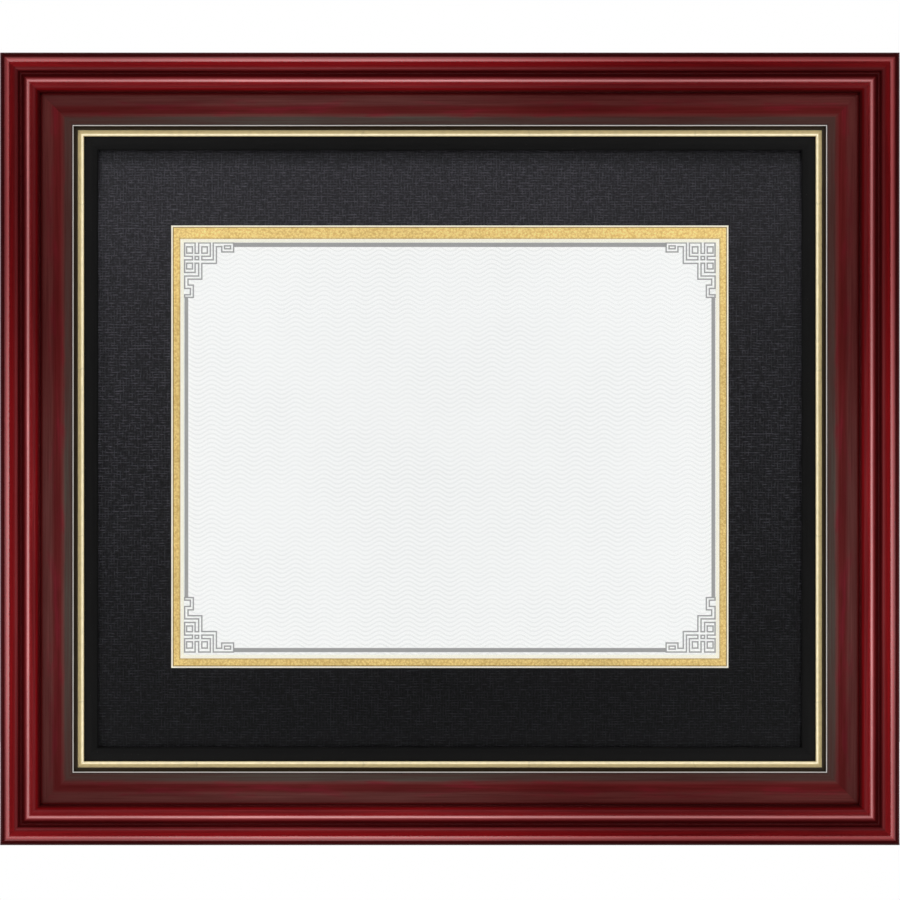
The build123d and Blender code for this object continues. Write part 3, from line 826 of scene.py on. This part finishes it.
def raised_ribbon(builder, points, look):
    """Adds a closed line as wide as the ornament's to a mesh. Points are across and up from the
    sheet's middle, in metres."""
    rings = []
    for before_it, point, after_it in zip(points[-1:] + points[:-1], points, points[1:] + points[:1]):
        before, after = (point - before_it).normalized(), (after_it - point).normalized()
        mitre = Vector((-before.y - after.y, before.x + after.x)) / (1 + before.dot(after))
        inner, outer = point - mitre * look.line_width / 2, point + mitre * look.line_width / 2
        section = ((inner, look.ink_height), (outer, look.ink_height), (outer, 0), (inner, 0))
        rings.append([print_vertex(builder, side.x, side.y, raised) for side, raised in section])
    for ring, following in zip(rings, rings[1:] + rings[:1]):
        for edge in range(4):
            other = (edge + 1) % 4
            builder.faces.new((ring[edge], ring[other], following[other], following[edge]))


def raised_bar(builder, across, up, half_width, half_height, look):
    """Adds a straight bar to a mesh, its middle so far across and up from the sheet's, in metres."""
    corners = [
        print_vertex(builder, across + right * half_width, up + higher * half_height, raised)
        for raised in (look.ink_height, 0)
        for right, higher in ((-1, -1), (1, -1), (1, 1), (-1, 1))
    ]
    for face in ((0, 1, 2, 3), (7, 6, 5, 4), (0, 4, 5, 1), (1, 5, 6, 2), (2, 6, 7, 3), (3, 7, 4, 0)):
        builder.faces.new([corners[i] for i in face])


def placed(name, data):
    """A new object in the scene."""
    thing = bpy.data.objects.new(name, data)
    bpy.context.scene.collection.objects.link(thing)
    return thing


def add_mesh(name, builder, material):
    """Turns a finished mesh into an object in the scene."""
    mesh = bpy.data.meshes.new(name)
    builder.to_mesh(mesh)
    builder.free()
    mesh.materials.append(material)
    return placed(name, mesh)


def make_print(name, builder, material):
    """Turns a finished mesh into a printed piece that lies on the sheet."""
    bmesh.ops.recalc_face_normals(builder, faces=builder.faces)
    piece = add_mesh(name, builder, material)
    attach(piece, "frame")


class CERTIFICATE_OT_lacquer_rails(bpy.types.Operator):
    """Stain, glaze and lacquer the four rails"""

    bl_idname = "certificate.lacquer_rails"
    bl_label = "Lacquer Rails"

    def execute(self, context):
        finish_sticks(cherry_lacquer, context.scene.certificate_looks.rails, "rail")
        return {"FINISHED"}


class CERTIFICATE_OT_gild_beads(bpy.types.Operator):
    """Lay gold leaf on the four beads"""

    bl_idname = "certificate.gild_beads"
    bl_label = "Gild Beads"

    def execute(self, context):
        finish_sticks(leaf_gold, context.scene.certificate_looks.beads, "gold_bead")
        return {"FINISHED"}


class CERTIFICATE_OT_paint_liners(bpy.types.Operator):
    """Paint the four liners satin black"""

    bl_idname = "certificate.paint_liners"
    bl_label = "Paint Liners"

    def execute(self, context):
        finish_sticks(satin_black, context.scene.certificate_looks.beads, "black_liner")
        return {"FINISHED"}


class CERTIFICATE_OT_glaze_front(bpy.types.Operator):
    """Make the pane clear low-glare glass"""

    bl_idname = "certificate.glaze_front"
    bl_label = "Glaze Front"

    def execute(self, context):
        apply_finish(clear_glass(), "glass_pane")
        return {"FINISHED"}


class CERTIFICATE_OT_face_mats(bpy.types.Operator):
    """Face the mats with black linen and gold paper over pale cores"""

    bl_idname = "certificate.face_mats"
    bl_label = "Face Mats"

    def execute(self, context):
        look = context.scene.certificate_looks.mats
        apply_finish(linen_facing(look), "black_mat_face")
        apply_finish(gold_facing(look), "gold_mat_face")
        apply_finish(pulp("cream_core", look.core, 0.9, 0.02), "black_mat_core", "gold_mat_core")
        return {"FINISHED"}


class CERTIFICATE_OT_print_sheet(bpy.types.Operator):
    """Print the waved ground, the corner ornaments and the rules on the sheet"""

    bl_idname = "certificate.print_sheet"
    bl_label = "Print Sheet"

    def execute(self, context):
        look = context.scene.certificate_looks.sheet
        apply_finish(certificate_paper(look), "certificate")
        ink = border_ink(look)
        edge_x, edge_z = look.border_width / 2, look.border_height / 2
        for upward, word in ((1, "top"), (-1, "bottom")):
            for rightward, side in ((-1, "left"), (1, "right")):
                builder = bmesh.new()
                for line in fret_lines():
                    points = [
                        Vector((rightward * (edge_x - across * MM), upward * (edge_z - down * MM)))
                        for across, down in line
                    ]
                    raised_ribbon(builder, points, look)
                make_print(f"corner_fret_{word}_{side}", builder, ink)
        reach = edge_x - FRET_REACH[0] * MM - look.line_width / 2
        half = look.level_rule / 2
        for sign, word in ((1, "top"), (-1, "bottom")):
            builder = bmesh.new()
            raised_bar(builder, 0, sign * (edge_z + look.rule_outset - half), reach, half, look)
            make_print(f"rule_{word}", builder, ink)
        reach = edge_z - FRET_REACH[1] * MM - look.line_width / 2
        half = look.upright_rule / 2
        for sign, word in ((-1, "left"), (1, "right")):
            builder = bmesh.new()
            raised_bar(builder, sign * (edge_x + look.rule_outset - half), 0, half, reach, look)
            make_print(f"rule_{word}", builder, ink)
        return {"FINISHED"}


class CERTIFICATE_OT_finish_boards(bpy.types.Operator):
    """Finish the boards, tape and paper corners behind the sheet"""

    bl_idname = "certificate.finish_boards"
    bl_label = "Finish Boards"

    def execute(self, context):
        look = context.scene.certificate_looks.boards
        apply_finish(hardboard(look), "backing_board")
        apply_finish(corrugated(look), "filler_board")
        apply_finish(pulp("mount_board", look.board), "mount_board")
        apply_finish(pulp("corner_paper", look.corner, 0.6, 0.02), "mounting_corners")
        apply_finish(linen_tape(look), "mat_hinge_tape")
        return {"FINISHED"}


class CERTIFICATE_OT_finish_hardware(bpy.types.Operator):
    """Plate the metal pieces and finish the rubber bumpers"""

    bl_idname = "certificate.finish_hardware"
    bl_label = "Finish Hardware"

    def execute(self, context):
        look = context.scene.certificate_looks.hardware
        zinc_pieces = [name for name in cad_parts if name.startswith("turn_button_")]
        zinc_pieces += ["corner_v_nails", "hanger_nails"]
        apply_finish(plated("zinc_plate", look.zinc, look.tarnish, 0.34), *zinc_pieces)
        apply_finish(plated("brass_plate", look.brass, look.tarnish, 0.3), "sawtooth_hanger")
        apply_finish(moulded_rubber(look), "wall_bumper_left", "wall_bumper_right")
        return {"FINISHED"}


def aimed(thing, target):
    """Turns a lamp or camera to look at a point."""
    thing.rotation_euler = (target - thing.location).to_track_quat("-Z", "Y").to_euler()


def add_lamp(name, place, size, watts, target, spread=math.pi):
    """A soft rectangular lamp that looks at a point and isn't seen itself."""
    lamp = bpy.data.lights.new(name, "AREA")
    lamp.shape = "RECTANGLE"
    lamp.size, lamp.size_y = size
    lamp.energy = watts
    lamp.spread = spread
    holder = placed(name, lamp)
    holder.location = place
    aimed(holder, target)
    holder.visible_camera = False


def pale_floor(shade):
    """Matt floor that shows white where it is lit and keeps the object's shadow."""
    own_light = 0.5
    finish = Finish(
        "pale_floor", roughness=0.9, specular_ior_level=0.1, emission_color=(1.0, 1.0, 1.0, 1.0)
    )
    seen = finish.calc("MAXIMUM", *finish.rays())
    return finish.show(
        base_color=finish.shaded(shade, finish.spread(finish.lumps(0.02, 3), 0.3, 0.7, 0.98, 1.0)),
        emission_strength=finish.times(seen, own_light),
    )


def white_room(grey):
    """Surroundings: white behind the object for what is seen and mirrored, and an even grey that
    lights it."""
    world = bpy.data.worlds.new("white_room")
    world.use_nodes = True
    room = Nodes(world.node_tree)
    background = room.nodes["Background"]
    background.inputs["Color"].default_value = (1.0, 1.0, 1.0, 1.0)
    depth = room.split(room.add("TexCoord").outputs["Generated"])[1]
    behind = room.calc("GREATER_THAN", depth, 0.5)
    facing = room.calc("MAXIMUM", room.times(depth, -1.0), 0.0)
    before = room.calc("MULTIPLY_ADD", room.calc("POWER", facing, 6.0), 0.025, 0.01)
    reflected = room.calc("MAXIMUM", behind, before)
    direct, mirrored = room.rays()
    indirect = room.calc("MULTIPLY_ADD", mirrored, room.calc("SUBTRACT", reflected, grey), grey)
    room.feed(background.inputs["Strength"], room.calc("MAXIMUM", direct, indirect))
    return world


def add_camera(look):
    """A far camera square to the front."""
    camera = bpy.data.cameras.new("camera")
    camera.sensor_width = 36.0
    camera.lens = camera.sensor_width * look.camera_distance / look.view_width
    view_centre = Vector((VIEW_RIGHT * MM, cad_low.y, VIEW_UP * MM))
    holder = placed("camera", camera)
    holder.location = view_centre - Vector((0, look.camera_distance, 0))
    aimed(holder, view_centre)
    bpy.context.scene.camera = holder


def add_lamps(look):
    """A ring of four lamps that shine straight back past the view, and two lamps behind the frame."""
    middle = look.ring_inside + look.ring_depth / 2
    side_length = 2 * (look.ring_inside + look.ring_depth)
    level, upright = (side_length, look.ring_depth), (look.ring_depth, side_length)
    for word, x, z, size, part in (
        ("top", 0, middle, level, look.level_share),
        ("bottom", 0, -middle, level, look.level_share),
        ("left", -middle, 0, upright, 1),
        ("right", middle, 0, upright, 1),
    ):
        place, straight_ahead = Vector((x, cad_low.y - look.lamp_distance, z)), Vector((x, 0, z))
        add_lamp(f"lamp_{word}", place, size, look.lamp_power * part, straight_ahead, look.grid_angle)
    for word, sign in (("left", -1), ("right", 1)):
        place = Vector((sign * look.back_aside, look.back_behind, look.back_height))
        add_lamp(f"back_lamp_{word}", place, (look.back_size, look.back_size), look.back_power, CENTRE)


def add_floor(look):
    """A pale floor under the frame, whose near edge lies a little behind the frame's front."""
    near, reach = cad_low.y + look.bead_overhang, look.floor_reach
    builder = bmesh.new()
    corners = ((-reach, near), (reach, near), (reach, reach), (-reach, reach))
    builder.faces.new([builder.verts.new((x, y, cad_low.z)) for x, y in corners])
    floor = add_mesh("floor", builder, pale_floor(look.floor))


class CERTIFICATE_OT_set_stage(bpy.types.Operator):
    """Set the camera, the ring of lamps, the floor and the surroundings"""

    bl_idname = "certificate.set_stage"
    bl_label = "Set Stage"

    def execute(self, context):
        look = context.scene.certificate_looks.stage
        add_camera(look)
        add_lamps(look)
        add_floor(look)
        context.scene.world = white_room(look.surround)
        context.scene.view_settings.view_transform = "Standard"
        return {"FINISHED"}


OPERATORS = (
    CERTIFICATE_OT_lacquer_rails,
    CERTIFICATE_OT_gild_beads,
    CERTIFICATE_OT_paint_liners,
    CERTIFICATE_OT_glaze_front,
    CERTIFICATE_OT_face_mats,
    CERTIFICATE_OT_print_sheet,
    CERTIFICATE_OT_finish_boards,
    CERTIFICATE_OT_finish_hardware,
    CERTIFICATE_OT_set_stage,
)


class CERTIFICATE_PT_sidebar(bpy.types.Panel):
    """Steps and settings of the frame's finishes"""

    bl_idname = "CERTIFICATE_PT_sidebar"
    bl_label = "Certificate Frame"
    bl_space_type = "VIEW_3D"
    bl_region_type = "UI"
    bl_category = "Certificate Frame"

    def draw(self, context):
        for operator in OPERATORS:
            self.layout.operator(operator.bl_idname)
        looks = context.scene.certificate_looks
        for group in looks.bl_rna.properties:
            if group.type == "POINTER" and group.identifier != "rna_type":
                box = self.layout.box()
                box.label(text=group.identifier.title())
                settings = getattr(looks, group.identifier)
                for setting in settings.bl_rna.properties:
                    if setting.identifier not in ("rna_type", "name"):
                        box.prop(settings, setting.identifier)


LOOKS = (RailLook, BeadLook, MatLook, SheetLook, BoardLook, HardwareLook, StageLook, FrameLooks)
CLASSES = (*LOOKS, *OPERATORS, CERTIFICATE_PT_sidebar)


def register():
    for cls in CLASSES:
        bpy.utils.register_class(cls)
    bpy.types.Scene.certificate_looks = PointerProperty(type=FrameLooks)


def unregister():
    del bpy.types.Scene.certificate_looks
    for cls in reversed(CLASSES):
        bpy.utils.unregister_class(cls)


def main():
    """Runs every step in order."""
    register()
    for operator in OPERATORS:
        getattr(bpy.ops.certificate, operator.bl_idname.split(".")[1])()


if __name__ == "__main__":
    main()
